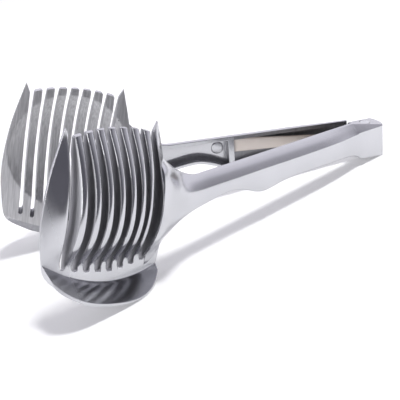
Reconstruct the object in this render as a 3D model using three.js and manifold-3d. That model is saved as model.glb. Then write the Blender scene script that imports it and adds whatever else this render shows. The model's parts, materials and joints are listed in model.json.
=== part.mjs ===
// Lemon slicer tongs: two cast arms with slotted cup heads, a hinge pin and a V leaf spring.
// Millimetres, +Z up, heads towards -X, hinge towards +X, front arm towards -Y.
// One arm is drawn with u from the hinge axis to the head, v outwards from the meeting plane, w up.
import * as THREE from "three";
import { mergeVertices } from "three/addons/utils/BufferGeometryUtils.js";
import Module from "manifold-3d";

// Lay-out of an arm
const HEAD_REACH = 159;
const HEAD_RISE = 10.5;
const HEAD_TILT = THREE.MathUtils.degToRad(12);
const OPEN_HALF_ANGLE = THREE.MathUtils.degToRad(10.6);
const CLEARANCE = 0.3;

// Head outline, in s across the head (towards the hinge) and t along the tines
const HEAD_HALF_WIDTH = 33;
const HEAD_WIDEST_T = -3;
const TIP_SPREAD = 24.4;
const TIP_TOP = 42.8;
const TINE_TOP = 41.3;
const TINE_ARCH_RADIUS = 75;
const SIDE_CURVE = 2.6;
const CORNER_INSET = 4.1;
const CORNER_T = -32;
const TOE_CORNER_INSET = 12.4;
const TOE_CORNER_T = -37.8;
const TOE_MIDDLE_INSET = 19;
const TOE_MIDDLE_T = -40.1;
const HEAD_BOTTOM = -41.8;
const SKEW_T = -26;
const SKEW_RADIUS = 38;

// Head body: dome outside, bowl inside, a toe below that juts outwards
const DOME_DEPTH = 18.8;
const DOME_PEAK_T = 4;
const DOME_LENGTH_UP = 39;
const DOME_LENGTH_DOWN = 32.7;
const DOME_FULLNESS = 2.5;
const LAND_DEPTH = 6;
const LAND_CENTRE_S = 4;
const LAND_RUN = 42;
const EDGE_DEPTH = 1.4;
const OUTER_PLATE_SHARE = 0.75;
const NECK_PLATE_SHARE = 0.93;
const BOWL_RADIUS = 30.8;
const BOWL_DEPTH = 7.2;
const BOWL_CENTRE_T = 7.2;
const CREASE_T = -34.6;
const CREASE_CENTRE_S = 5;
const CREASE_RADIUS = 62;
const TOE_SLOPE = 2.2;
const TOE_REACH = 19.1;
const TOE_CENTRE_S = -1;
const TOE_WIDER = 2;
const TOE_FULLNESS = 4;
const TOE_RIM = 1;
const FOOT_BEVEL_T = -38.7;
const FOOT_BEVEL_RADIUS = 80;
const FOOT_BEVEL_SLOPE = 0.5;

// Knife slots
const SLOT_COUNT = 8;
const SLOT_PITCH = 6.08;
const SLOT_WIDTH_INSIDE = 2.15;
const SLOT_WIDTH_OUTSIDE = 3.1;
const SLOT_FLOOR_T = -32.4;
const SLOT_FLOOR_RADIUS = 69;
const SLOT_FLOOR_RISE = 0.6;

// Handle: a channel section, open to the meeting plane
const HANDLE_TOP = 13.5;
const HANDLE_THICKNESS = 9;
const HINGE_THICKNESS = 6;
const THICKENING_RUN = 30;
const GRIP_BOTTOM = -2.3;
const HEEL_END_DROP = 5.9;
const HEEL_U = 4;
const HEEL_DROP = 4;
const HEEL_START_U = 14;
const HEEL_START_DROP = 1;
const GRIP_START_U = 30;
const LOBE_U = 72;
const LOBE_RUN = 16;
const LOBE_DROP = 2.2;
const WAIST_U = 92;
const WAIST_RISE = 3.8;
const NECK_U = 113.5;
const NECK_RUN_IN = 9;
const NECK_RUN_OUT = 3;
const NECK_DROP = 0.8;
const NECK_END_DROP = 7;
const ENDS_PAST = 2;
const NECK_LOW_T = -29;
const NECK_HIGH_T = 26;
const TOP_LAND = 1.6;
const TOP_BEVEL = 4.3;
const TOP_WALL = 2;
const BOTTOM_WALL = 1.4;
const OUTER_WALL = 2.5;
const RIB_U = 72.7;
const RIB_THICKNESS = 3;
const POCKET_FRONT_END_U = 116;
const POCKET_REAR_END_U = 10;
const DISC_RADIUS = 3.2;
const DISC_HEIGHT = 0.5;
const DISC_GAP = 1.6;
const DISC_W = 5.5;

// Hinge: a block on the front arm takes the rear arm's tongue between two flanges
const BLOCK_RADIUS = 9.5;
const FLANGE_THICKNESS = 3.2;
const KNUCKLE_RADIUS = 3.6;
const TONGUE_BOTTOM = -4.6;
const FOOT_DROP = 9;
const PIN_RADIUS = 1.5;
const PIN_HEAD_RADIUS = 2.6;
const PIN_HEAD_HEIGHT = 0.8;
const PIN_CHAMFER = 0.3;
const PIN_FOOT_RECESS = 3.6;

// Leaf spring
const SPRING_WIDTH = 8;
const SPRING_THICKNESS = 0.8;
const SPRING_CENTRE_W = 5.6;
const SPRING_BEND_RADIUS = 3;
const SPRING_BEND_X = -13.6;

// Fineness of the facets
const DOME_COLUMNS = 22;
const DOME_ROWS = 14;
const OUTLINE_STEPS = 16;
const BOWL_STEPS = 7;
const ROUND_SEGMENTS = 40;
const SLOT_END_STEPS = 4;
const HANDLE_STEP = 4.2;
const REACH_PAST = 6;
const WELD = 1e-4;

const MEETING_FACE = CLEARANCE / 2;
const TONGUE_TOP = HANDLE_TOP - FLANGE_THICKNESS - CLEARANCE;
const STEP_RADIUS = BLOCK_RADIUS + CLEARANCE;
const PLATE_EDGE = ((SLOT_COUNT - 1) / 2) * SLOT_PITCH;

const wasm = await Module();
wasm.setup();

const cast = { color: 0xc6c8cc, roughness: 0.24, metalness: 1 };
const steel = { color: 0xd5d8da, roughness: 0.3, metalness: 1 };
const springSteel = { color: 0xcdbfb2, roughness: 0.38, metalness: 1 };

// Closed geometry to a solid, turned outwards if it faces in.
function solid(geometry) {
  const bare = new THREE.BufferGeometry();
  bare.setAttribute("position", geometry.getAttribute("position"));
  bare.setIndex(geometry.getIndex());
  const welded = mergeVertices(bare, WELD);
  const points = welded.getAttribute("position");
  const [a, b, c] = [0, 1, 2].map(() => new THREE.Vector3());
  const corners = [];
  let volume = 0;
  for (let i = 0; i < welded.index.count; i += 3) {
    const ids = [0, 1, 2].map((k) => welded.index.getX(i + k));
    if (new Set(ids).size < 3) continue;
    [a, b, c].forEach((vector, k) => vector.fromBufferAttribute(points, ids[k]));
    volume += a.dot(b.cross(c));
    corners.push(ids);
  }
  const triVerts = Uint32Array.from(corners.map((ids) => (volume < 0 ? ids.reverse() : ids)).flat());
  const vertProperties = Float32Array.from(points.array);
  return new wasm.Manifold(new wasm.Mesh({ numProp: 3, vertProperties, triVerts }));
}

// Solid back to geometry.
function geometryOf(made) {
  const { vertProperties, triVerts } = made.getMesh();
  const geometry = new THREE.BufferGeometry();
  geometry.setAttribute("position", new THREE.BufferAttribute(Float32Array.from(vertProperties), 3));
  geometry.setIndex(new THREE.BufferAttribute(Uint32Array.from(triVerts), 1));
  return geometry;
}

const join = (...solids) => wasm.Manifold.union(solids);
const cut = (body, ...tools) => body.subtract(join(...tools));

// Closed skin through rings of [x, y, z] points that have equal counts.
function loft(rings, flat) {
  const count = rings[0].length;
  const index = [];
  for (let r = 0; r + 1 < rings.length; r += 1) {
    for (let i = 0; i < count; i += 1) {
      const next = (i + 1) % count;
      const [a, b] = [r * count + i, r * count + next];
      index.push(a, b, b + count, a, b + count, a + count);
    }
  }
  const first = rings[0].map((p) => new THREE.Vector2(...flat(p)));
  const last = rings.at(-1).map((p) => new THREE.Vector2(...flat(p)));
  const base = (rings.length - 1) * count;
  const turned = THREE.ShapeUtils.isClockWise(first);
  for (const [ring, offset, flip] of [[first, 0, !turned], [last, base, turned]]) {
    for (const [a, b, c] of THREE.ShapeUtils.triangulateShape(ring, [])) {
      index.push(offset + a, offset + (flip ? c : b), offset + (flip ? b : c));
    }
  }
  const geometry = new THREE.BufferGeometry();
  geometry.setAttribute("position", new THREE.Float32BufferAttribute(rings.flat(2), 3));
  geometry.setIndex(index);
  return geometry;
}

const steps = (from, to, count) =>
  Array.from({ length: count + 1 }, (_, i) => THREE.MathUtils.lerp(from, to, i / count));
const arc = (radius, s) => (s * s) / (2 * radius);
const tineTop = (s) => TINE_TOP - arc(TINE_ARCH_RADIUS, s);
const creaseAt = (s) => CREASE_T + arc(CREASE_RADIUS, s - CREASE_CENTRE_S);
const toeHalfWidth = HEAD_HALF_WIDTH + TOE_WIDER;
const toeReach = (s) => TOE_REACH * (1 - (Math.abs(s - TOE_CENTRE_S) / toeHalfWidth) ** TOE_FULLNESS);
const skewAt = (t) => arc(SKEW_RADIUS, Math.min(t - SKEW_T, 0));

// Higher of two levels, with a rounded change between them.
function roundedMax(a, b, round) {
  return (a + b + Math.hypot(a - b, round)) / 2;
}

// Outer surface of the head above the meeting plane.
function headDepth(s, t) {
  const crease = creaseAt(s);
  const across = Math.min(Math.abs(s) / (HEAD_HALF_WIDTH + 1), 1);
  const level = Math.max(t, crease);
  const length = level > DOME_PEAK_T ? DOME_LENGTH_UP : DOME_LENGTH_DOWN;
  const along = 1 - ((level - DOME_PEAK_T) / length) ** 2;
  let share = 1 - across ** DOME_FULLNESS;
  if (s < -PLATE_EDGE) share *= OUTER_PLATE_SHARE;
  if (s > PLATE_EDGE) {
    share = NECK_PLATE_SHARE * (1 - ((s - PLATE_EDGE) / (HEAD_HALF_WIDTH + 1 - PLATE_EDGE)) ** 2);
  }
  const land = Math.max(LAND_DEPTH * (1 - ((s - LAND_CENTRE_S) / LAND_RUN) ** 2), EDGE_DEPTH);
  const rise = level > DOME_PEAK_T ? EDGE_DEPTH : land;
  const dome = roundedMax(DOME_DEPTH * along * share, rise, EDGE_DEPTH);
  const toe = dome + TOE_SLOPE * Math.max(crease - t, 0);
  return Math.min(toe, Math.max(toeReach(s), dome));
}

// Level where the sloping face of the toe ends in its rim.
function rimLevel(s) {
  const crease = creaseAt(s);
  return crease - Math.max((toeReach(s) - headDepth(s, crease)) / TOE_SLOPE, TOE_RIM);
}

// Domed block over the whole head, as sections across s.
function headDome() {
  const wide = HEAD_HALF_WIDTH + REACH_PAST;
  const step = WELD * 100;
  const left = steps(-wide, -PLATE_EDGE - step, Math.round(DOME_COLUMNS / 4));
  const middle = steps(-PLATE_EDGE, PLATE_EDGE, Math.round(DOME_COLUMNS / 2));
  const right = steps(PLATE_EDGE + step, wide, Math.round(DOME_COLUMNS / 4));
  const rings = [...left, ...middle, ...right].map((s) => {
    const low = [HEAD_BOTTOM - REACH_PAST, rimLevel(s), creaseAt(s)];
    const high = steps(creaseAt(s), TIP_TOP + REACH_PAST, DOME_ROWS).slice(1);
    const skin = [...low, ...high].map((t) => [s, headDepth(s, t), t]);
    return [...skin, [s, MEETING_FACE, skin.at(-1)[2]], [s, MEETING_FACE, skin[0][2]]];
  });
  return solid(loft(rings, ([, y, z]) => [y, z]));
}

// Outline of the head, extruded outwards.
function headOutline() {
  const side = [
    [TIP_SPREAD, TIP_TOP],
    [HEAD_HALF_WIDTH - SIDE_CURVE, (TIP_TOP + HEAD_WIDEST_T) / 2],
    [HEAD_HALF_WIDTH, HEAD_WIDEST_T],
    [HEAD_HALF_WIDTH - SIDE_CURVE / 2, (CORNER_T + HEAD_WIDEST_T) / 2 - 2],
    [HEAD_HALF_WIDTH - CORNER_INSET, CORNER_T],
    [HEAD_HALF_WIDTH - TOE_CORNER_INSET, TOE_CORNER_T],
    [HEAD_HALF_WIDTH - TOE_MIDDLE_INSET, TOE_MIDDLE_T],
    [0, HEAD_BOTTOM],
  ];
  const mirrored = side.slice(0, -1).map(([s, t]) => [-s, t]).reverse();
  const around = new THREE.SplineCurve(
    [...side, ...mirrored].map(([s, t]) => new THREE.Vector2(s + skewAt(t), t)),
  );
  const top = steps(-PLATE_EDGE - SLOT_WIDTH_INSIDE / 2, PLATE_EDGE + SLOT_WIDTH_INSIDE / 2, OUTLINE_STEPS);
  const arch = top.map((s) => new THREE.Vector2(s, tineTop(s)));
  const shape = new THREE.Shape([...around.getPoints(4 * OUTLINE_STEPS), ...arch]);
  const block = new THREE.ExtrudeGeometry(shape, { depth: 2 * DOME_DEPTH, bevelEnabled: false });
  return solid(block.rotateX(Math.PI / 2).scale(1, -1, 1));
}

// Lens that hollows the bowl.
function bowlTool() {
  const sphere = (BOWL_RADIUS ** 2 + BOWL_DEPTH ** 2) / (2 * BOWL_DEPTH);
  const rim = Math.asin(BOWL_RADIUS / sphere);
  const profile = steps(0, rim, BOWL_STEPS).map(
    (a) => new THREE.Vector2(sphere * Math.sin(a), BOWL_DEPTH - sphere + sphere * Math.cos(a)),
  );
  const deep = MEETING_FACE - CLEARANCE;
  profile.push(new THREE.Vector2(BOWL_RADIUS, deep), new THREE.Vector2(0, deep));
  profile[0].x = 0;
  const lens = new THREE.LatheGeometry(profile, ROUND_SEGMENTS);
  return solid(lens.translate(0, MEETING_FACE, BOWL_CENTRE_T));
}

// One slot, wider outside, with a round floor that rises outwards.
function slotTool(s) {
  const rings = [-REACH_PAST, DOME_DEPTH + REACH_PAST].map((v) => {
    const half = THREE.MathUtils.lerp(SLOT_WIDTH_INSIDE, SLOT_WIDTH_OUTSIDE, v / DOME_DEPTH) / 2;
    const floor = SLOT_FLOOR_T + arc(SLOT_FLOOR_RADIUS, s) + SLOT_FLOOR_RISE * v + half;
    const end = steps(Math.PI, 2 * Math.PI, SLOT_END_STEPS).map((a) => [
      s + half * Math.cos(a),
      v,
      floor + half * Math.sin(a),
    ]);
    return [[s - half, v, TIP_TOP + REACH_PAST], ...end, [s + half, v, TIP_TOP + REACH_PAST]];
  });
  return solid(loft(rings, ([x, , z]) => [x, z]));
}

// Wedge that bevels the inside of the toe.
function footBevelTool() {
  const deep = HEAD_BOTTOM - REACH_PAST;
  const wide = HEAD_HALF_WIDTH + REACH_PAST;
  const rings = steps(-wide, wide, OUTLINE_STEPS).map((s) => {
    const start = FOOT_BEVEL_T + arc(FOOT_BEVEL_RADIUS, s - LAND_CENTRE_S);
    return [
      [s, MEETING_FACE - REACH_PAST, start + REACH_PAST / FOOT_BEVEL_SLOPE],
      [s, MEETING_FACE - REACH_PAST, deep],
      [s, MEETING_FACE + FOOT_BEVEL_SLOPE * (start - deep), deep],
    ];
  });
  return solid(loft(rings, ([, y, z]) => [y, z]));
}

function head() {
  const body = wasm.Manifold.intersection([headDome(), headOutline()]);
  return cut(body, bowlTool(), footBevelTool());
}

const slots = () =>
  join(...Array.from({ length: SLOT_COUNT }, (_, i) => slotTool((i - (SLOT_COUNT - 1) / 2) * SLOT_PITCH)));

const headPlace = new THREE.Matrix4()
  .makeTranslation(-HEAD_REACH, 0, HEAD_RISE)
  .multiply(new THREE.Matrix4().makeRotationY(HEAD_TILT));
const placed = (made, matrix) => solid(geometryOf(made).applyMatrix4(matrix));

// End of the neck: the slot-side face of the head's plate on the hinge side.
const plateFace = PLATE_EDGE + SLOT_WIDTH_OUTSIDE / 2;
const neckAxisW = HEAD_RISE - plateFace * Math.sin(HEAD_TILT);
const NECK_END = HEAD_REACH - plateFace * Math.cos(HEAD_TILT);

// Lower edge of the handle and neck.
const lowerEdge = new THREE.SplineCurve([
  new THREE.Vector2(-BLOCK_RADIUS - ENDS_PAST, GRIP_BOTTOM - HEEL_END_DROP),
  new THREE.Vector2(HEEL_U, GRIP_BOTTOM - HEEL_DROP),
  new THREE.Vector2(HEEL_START_U, GRIP_BOTTOM - HEEL_START_DROP),
  new THREE.Vector2(GRIP_START_U, GRIP_BOTTOM),
  new THREE.Vector2(LOBE_U - LOBE_RUN, GRIP_BOTTOM),
  new THREE.Vector2(LOBE_U, GRIP_BOTTOM - LOBE_DROP),
  new THREE.Vector2((LOBE_U + WAIST_U) / 2 + 1, GRIP_BOTTOM + WAIST_RISE / 2),
  new THREE.Vector2(WAIST_U, GRIP_BOTTOM + WAIST_RISE),
  new THREE.Vector2(NECK_U - NECK_RUN_IN, GRIP_BOTTOM + WAIST_RISE / 2),
  new THREE.Vector2(NECK_U + NECK_RUN_OUT, GRIP_BOTTOM - NECK_DROP),
  new THREE.Vector2(NECK_END + ENDS_PAST, GRIP_BOTTOM - NECK_END_DROP),
]).getPoints(200);

// Outer thickness of the handle and neck.
const thickness = new THREE.SplineCurve([
  new THREE.Vector2(-BLOCK_RADIUS - ENDS_PAST, HINGE_THICKNESS),
  new THREE.Vector2(BLOCK_RADIUS, HINGE_THICKNESS + 0.2),
  new THREE.Vector2(BLOCK_RADIUS + THICKENING_RUN, HANDLE_THICKNESS),
  new THREE.Vector2(NECK_END + ENDS_PAST, HANDLE_THICKNESS),
]).getPoints(200);

function valueAt(points, u) {
  const next = points.findIndex((p) => p.x >= u);
  const [a, b] = [points[next - 1], points[next]];
  return THREE.MathUtils.mapLinear(u, a.x, b.x, a.y, b.y);
}
const bottomAt = (u) => valueAt(lowerEdge, u);
const thicknessAt = (u) => valueAt(thickness, u);

// Section of the handle at u, as [v, w] points from the lower inner edge round to the upper one.
function gripSection(u) {
  const [bottom, out] = [bottomAt(u), thicknessAt(u)];
  const bevel = THREE.MathUtils.mapLinear(Math.min(u, 30), 0, 30, TOP_BEVEL / 4, TOP_BEVEL);
  return [
    [MEETING_FACE, bottom],
    [out * 0.62, bottom],
    [out * 0.84, bottom + 0.7],
    [out * 0.95, bottom + 2.4],
    [out, (HANDLE_TOP + bottom) / 2 - 1],
    [out * 0.97, HANDLE_TOP - bevel - 0.7],
    [out * 0.9, HANDLE_TOP - bevel],
    [out * 0.64, HANDLE_TOP - bevel * 0.48],
    [Math.max(out * 0.36, TOP_LAND + 0.5), HANDLE_TOP - bevel * 0.13],
    [TOP_LAND, HANDLE_TOP],
    [MEETING_FACE, HANDLE_TOP],
  ];
}

// Section where the neck ends in the head's plate, with the same number of points.
function plateSection(count) {
  const levels = steps(NECK_LOW_T, NECK_HIGH_T, count - 3);
  const outer = levels.map((t) => [headDepth(plateFace, t), t]);
  const ring = [[MEETING_FACE, NECK_LOW_T], ...outer, [MEETING_FACE, NECK_HIGH_T]];
  return ring.map(([v, t]) => [v, neckAxisW + t * Math.cos(HEAD_TILT)]);
}

// Closed section at u: the handle's, turning into the plate's and leaning with it along the neck.
function armSection(u) {
  const near = THREE.MathUtils.smoothstep(u, NECK_U, NECK_END);
  const grip = gripSection(u);
  const plate = plateSection(grip.length);
  const lean = near * Math.tan(HEAD_TILT);
  return grip.map(([v, w], i) => {
    const low = i < grip.length / 2;
    const level = THREE.MathUtils.lerp(w, plate[i][1], low ? near ** 2 : near);
    return [lean * (level - neckAxisW) - u, THREE.MathUtils.lerp(v, plate[i][0], near), level];
  });
}

function handle() {
  const stations = steps(0, NECK_END, Math.round(NECK_END / HANDLE_STEP));
  return solid(loft(stations.map(armSection), ([, y, z]) => [y, z]));
}

const pocketFloor = (u) => thicknessAt(u) - OUTER_WALL;

// Pocket between the handle's walls, from one u to another.
function pocketTool(from, to) {
  const rings = steps(from, to, Math.round((to - from) / HANDLE_STEP)).map((u) => {
    const [low, high] = [bottomAt(u) + BOTTOM_WALL, HANDLE_TOP - TOP_WALL];
    const floor = pocketFloor(u);
    return [
      [-u, -REACH_PAST, low],
      [-u, floor, low],
      [-u, floor, high - TOP_BEVEL / 3],
      [-u, TOP_LAND, high],
      [-u, -REACH_PAST, high],
    ];
  });
  return solid(loft(rings, ([, y, z]) => [y, z]));
}

// Upright cylinder about the hinge axis.
function post(radius, from, to) {
  const round = new THREE.CylinderGeometry(radius, radius, to - from, ROUND_SEGMENTS);
  return solid(round.rotateX(Math.PI / 2).translate(0, 0, (from + to) / 2));
}

// Low round boss on the floor of the front pocket.
function disc() {
  const u = RIB_U + RIB_THICKNESS / 2 + DISC_GAP + DISC_RADIUS;
  const root = OUTER_WALL / 2;
  const round = new THREE.CylinderGeometry(DISC_RADIUS, DISC_RADIUS, DISC_HEIGHT + root, ROUND_SEGMENTS);
  return solid(round.translate(-u, pocketFloor(u) + (root - DISC_HEIGHT) / 2, DISC_W));
}

// Arm without its hinge, drawn for the rear side.
function armBlank() {
  const body = join(placed(head(), headPlace), handle());
  const pockets = [
    pocketTool(POCKET_REAR_END_U, RIB_U - RIB_THICKNESS / 2),
    pocketTool(RIB_U + RIB_THICKNESS / 2, POCKET_FRONT_END_U),
  ];
  const bowl = placed(bowlTool(), headPlace);
  return join(cut(body, ...pockets, bowl, placed(slots(), headPlace)), disc());
}

const blank = armBlank();
const bore = post(PIN_RADIUS + CLEARANCE, -HEAD_REACH, HEAD_REACH);

// Rear arm: its end becomes a tongue with a knuckle.
function rearArm() {
  const above = post(STEP_RADIUS, TONGUE_TOP, HEAD_REACH);
  const below = post(STEP_RADIUS, -HEAD_REACH, TONGUE_BOTTOM);
  const knuckle = post(KNUCKLE_RADIUS, TONGUE_BOTTOM, TONGUE_TOP);
  return cut(join(cut(blank, above, below), knuckle), bore);
}

// Prism from a plan outline of [u, v] points, in the front arm's axes.
function planPrism(outline, from, to) {
  const shape = new THREE.Shape(outline.map(([u, v]) => new THREE.Vector2(-u, -v)));
  const block = new THREE.ExtrudeGeometry(shape, { depth: to - from, bevelEnabled: false });
  return solid(block.translate(0, 0, from));
}

// Rounded block at the end of the front arm.
function hingeBlock() {
  const reach = Math.asin(HINGE_THICKNESS / BLOCK_RADIUS);
  const half = steps(-reach, reach, SLOT_END_STEPS * 2);
  const outline = [Math.PI, 0].flatMap((side) =>
    half.map((a) => [BLOCK_RADIUS * Math.cos(side + a), BLOCK_RADIUS * Math.sin(side + a)]),
  );
  const plan = planPrism(outline, -2 * FOOT_DROP, HANDLE_TOP);
  const profile = steps(-BLOCK_RADIUS - 1, BLOCK_RADIUS + 1, SLOT_END_STEPS).map((u) => [-u, bottomAt(u)]);
  const side = [...profile, [-BLOCK_RADIUS - 1, 2 * HANDLE_TOP], [BLOCK_RADIUS + 1, 2 * HANDLE_TOP]];
  const shape = new THREE.Shape(side.map(([x, z]) => new THREE.Vector2(x, z)));
  const slab = new THREE.ExtrudeGeometry(shape, { depth: 2 * BLOCK_RADIUS, bevelEnabled: false });
  slab.translate(0, 0, -BLOCK_RADIUS).rotateX(Math.PI / 2);
  return wasm.Manifold.intersection([plan, solid(slab)]);
}

// Space in which the tongue swings, ended by the stop that the open arm rests on.
function tongueSpace() {
  const swing = 2 * OPEN_HALF_ANGLE;
  const far = 2 * BLOCK_RADIUS;
  const stopAt = (v) => (v * Math.sin(swing) - CLEARANCE) / Math.cos(swing);
  const outline = [
    [stopAt(MEETING_FACE), MEETING_FACE],
    [far, MEETING_FACE],
    [far, -far],
    [stopAt(-far), -far],
  ];
  const [from, to] = [TONGUE_BOTTOM - CLEARANCE, TONGUE_TOP + CLEARANCE];
  return join(planPrism(outline, from, to), post(KNUCKLE_RADIUS + CLEARANCE, from, to));
}

const mirrored = placed(blank, new THREE.Matrix4().makeScale(1, -1, 1));

// Pitch at which the tool rests on both toes and on the foot below the hinge.
function restPitch() {
  const points = geometryOf(blank).rotateZ(-OPEN_HALF_ANGLE).getAttribute("position");
  let slope = 0;
  for (let i = 0; i < points.count; i += 1) {
    if (points.getX(i) < -HEAD_REACH / 2) {
      slope = Math.max(slope, (points.getZ(i) + FOOT_DROP) / points.getX(i));
    }
  }
  return Math.atan(slope);
}
const pitch = restPitch();

// Everything below the surface that the tool stands on, in the front arm's axes.
function ground() {
  const slab = new THREE.BoxGeometry(4 * HEAD_REACH, 4 * HEAD_REACH, HEAD_REACH);
  slab.translate(0, 0, -HEAD_REACH / 2).rotateY(-pitch).translate(0, 0, -FOOT_DROP);
  return solid(slab.rotateZ(-OPEN_HALF_ANGLE));
}

function frontArm() {
  const sink = post(PIN_HEAD_RADIUS + CLEARANCE, HANDLE_TOP - PIN_HEAD_HEIGHT - CLEARANCE, HEAD_REACH);
  return cut(join(mirrored, hingeBlock()), tongueSpace(), bore, sink, ground());
}

// Headed pin, revolved.
function hingePin() {
  const [low, high] = [PIN_FOOT_RECESS - FOOT_DROP, HANDLE_TOP];
  const profile = [
    [0, low],
    [PIN_RADIUS - PIN_CHAMFER, low],
    [PIN_RADIUS, low + PIN_CHAMFER],
    [PIN_RADIUS, high - PIN_HEAD_HEIGHT],
    [PIN_HEAD_RADIUS, high - PIN_HEAD_HEIGHT],
    [PIN_HEAD_RADIUS, high - PIN_CHAMFER],
    [PIN_HEAD_RADIUS - PIN_CHAMFER, high],
    [0, high],
  ];
  const lathe = new THREE.LatheGeometry(profile.map(([r, z]) => new THREE.Vector2(r, z)), ROUND_SEGMENTS);
  return solid(lathe.rotateX(Math.PI / 2));
}

// V leaf spring: legs from the bend near the hinge out to both pocket floors.
function leafSpring() {
  const endU = RIB_U - RIB_THICKNESS / 2 - 4 * CLEARANCE;
  const endV = pocketFloor(endU) - CLEARANCE - SPRING_THICKNESS / 2;
  const end = new THREE.Vector2(-endU, endV).rotateAround(new THREE.Vector2(), -OPEN_HALF_ANGLE);
  const bend = new THREE.Vector2(SPRING_BEND_X, 0);
  const run = end.clone().sub(bend);
  const lean = run.angle() - Math.acos(SPRING_BEND_RADIUS / run.length());
  const side = (offset) => {
    const out = new THREE.Vector2(Math.cos(lean), Math.sin(lean)).multiplyScalar(offset);
    const turn = steps(lean, -lean, ROUND_SEGMENTS / 2).map((a) =>
      new THREE.Vector2(Math.cos(a), Math.sin(a)).multiplyScalar(SPRING_BEND_RADIUS + offset).add(bend),
    );
    const start = end.clone().add(out);
    return [start, ...turn, new THREE.Vector2(start.x, -start.y)];
  };
  const half = SPRING_THICKNESS / 2;
  const shape = new THREE.Shape([...side(half), ...side(-half).reverse()]);
  const strip = new THREE.ExtrudeGeometry(shape, { depth: SPRING_WIDTH, bevelEnabled: false });
  return solid(strip.translate(0, 0, SPRING_CENTRE_W - SPRING_WIDTH / 2));
}

function part(name, made, look, turn = 0) {
  const geometry = geometryOf(made).toNonIndexed();
  geometry.computeVertexNormals();
  const mesh = new THREE.Mesh(geometry, new THREE.MeshStandardMaterial(look));
  mesh.name = name;
  mesh.rotation.z = turn;
  return mesh;
}

const tongs = new THREE.Group();
tongs.rotation.y = pitch;
tongs.add(
  part("front_arm", frontArm(), cast, OPEN_HALF_ANGLE),
  part("rear_arm", rearArm(), cast, -OPEN_HALF_ANGLE),
  part("hinge_pin", hingePin(), steel),
  part("leaf_spring", leafSpring(), springSteel),
);

// The origin lies under the middle of the tool, on the surface that it stands on.
const box = new THREE.Box3().setFromObject(tongs, true);
const middle = box.getCenter(new THREE.Vector3());
tongs.position.set(-middle.x, -middle.y, -box.min.z);

const slicer = new THREE.Group();
slicer.add(tongs);
export default slicer;
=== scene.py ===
# %% [markdown]
# # Lemon slicer tongs
# Two cast metal arms turn on a pin. Each arm ends in a domed head with eight knife slots, and a
# V of spring strip between the handles pushes the heads apart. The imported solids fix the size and
# the place of every piece; this lesson rebuilds them with the smooth, polished surfaces of a casting.

# %% Load the frame
import json
import math

import bpy
from mathutils import Matrix, Vector


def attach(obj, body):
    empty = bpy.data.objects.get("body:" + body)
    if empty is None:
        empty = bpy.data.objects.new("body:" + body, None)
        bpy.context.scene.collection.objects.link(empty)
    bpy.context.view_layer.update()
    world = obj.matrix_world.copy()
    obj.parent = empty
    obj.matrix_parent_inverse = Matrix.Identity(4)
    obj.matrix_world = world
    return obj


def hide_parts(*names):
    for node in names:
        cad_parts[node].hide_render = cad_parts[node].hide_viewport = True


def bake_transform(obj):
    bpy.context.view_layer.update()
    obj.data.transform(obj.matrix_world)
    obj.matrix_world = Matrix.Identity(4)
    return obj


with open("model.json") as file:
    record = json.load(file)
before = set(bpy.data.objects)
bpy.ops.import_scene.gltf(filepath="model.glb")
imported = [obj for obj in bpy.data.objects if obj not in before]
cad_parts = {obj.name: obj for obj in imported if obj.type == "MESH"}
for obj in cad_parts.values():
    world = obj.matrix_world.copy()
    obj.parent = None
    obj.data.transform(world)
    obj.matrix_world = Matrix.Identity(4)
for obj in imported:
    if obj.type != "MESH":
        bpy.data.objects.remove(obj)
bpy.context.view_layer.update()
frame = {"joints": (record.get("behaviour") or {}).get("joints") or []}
scene = bpy.context.scene
scene.view_settings.view_transform = "Standard"

# %% [markdown]
# The arms are easiest to draw lying along the hinge's own axes, in millimetres: x away from the
# heads, y outwards from the plane where the arms meet, z along the pin. They could be drawn where
# they stand, but every size would then be mixed up with the tilt of the tool. The hinge joint of the
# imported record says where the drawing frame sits, so one matrix carries every finished mesh home.

# %% Drawing frame of the tool
hinge = frame["joints"][0]
HINGE_HEIGHT = 4.5
PITCH = math.atan2(hinge["axis"][0], hinge["axis"][2])
TOOL = (
    Matrix.Translation(hinge["pos_m"])
    @ Matrix.Rotation(PITCH, 4, "Y")
    @ Matrix.Translation((0, 0, -HINGE_HEIGHT / 1000))
    @ Matrix.Scale(0.001, 4)
)
print("pitch at rest:", round(math.degrees(PITCH), 2))

# %% [markdown]
# The camera comes first, because everything is judged through it. It could be turned by hand until
# the view looks right; here its place was found by matching the tips, slots and handle edges of the
# picture, so it is written in the tool's drawing frame. A long lens keeps the two heads close in size.

# %% Camera
IMAGE_WIDTH, SENSOR_WIDTH = 400, 36
FOCAL_PIXELS = 1297.46
AZIMUTH, ELEVATION, ROLL = (math.radians(a) for a in (-20.56, 26.1, -3.87))
TARGET = Vector((-95.99, 0, -11.46))
DISTANCE = 668.07

back = Vector((
    math.sin(AZIMUTH) * math.cos(ELEVATION),
    -math.cos(AZIMUTH) * math.cos(ELEVATION),
    math.sin(ELEVATION),
))
level_right = Vector((math.cos(AZIMUTH), math.sin(AZIMUTH), 0))
level_up = back.cross(level_right)
right = math.cos(ROLL) * level_right + math.sin(ROLL) * level_up
up = math.cos(ROLL) * level_up - math.sin(ROLL) * level_right
turn = TOOL.to_quaternion().to_matrix() @ Matrix((right, up, back)).transposed()

camera_data = bpy.data.cameras.new("camera")
camera_data.sensor_width = SENSOR_WIDTH
camera_data.lens = FOCAL_PIXELS / IMAGE_WIDTH * SENSOR_WIDTH
camera_data.clip_start = 0.01
camera = bpy.data.objects.new("camera", camera_data)
camera.matrix_world = Matrix.Translation(TOOL @ (TARGET + DISTANCE * back)) @ turn.to_4x4()
scene.collection.objects.link(camera)
scene.camera = camera
print("lens:", round(camera_data.lens, 1), "at", [round(c, 3) for c in camera.location])

# %% [markdown]
# A few helpers stand for what a hand does over and over: pick one object, add a primitive with
# nothing else selected, work on all of it in edit mode, turn its faces outwards, and move its points
# to where a formula puts them.

# %% Modelling helpers


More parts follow.
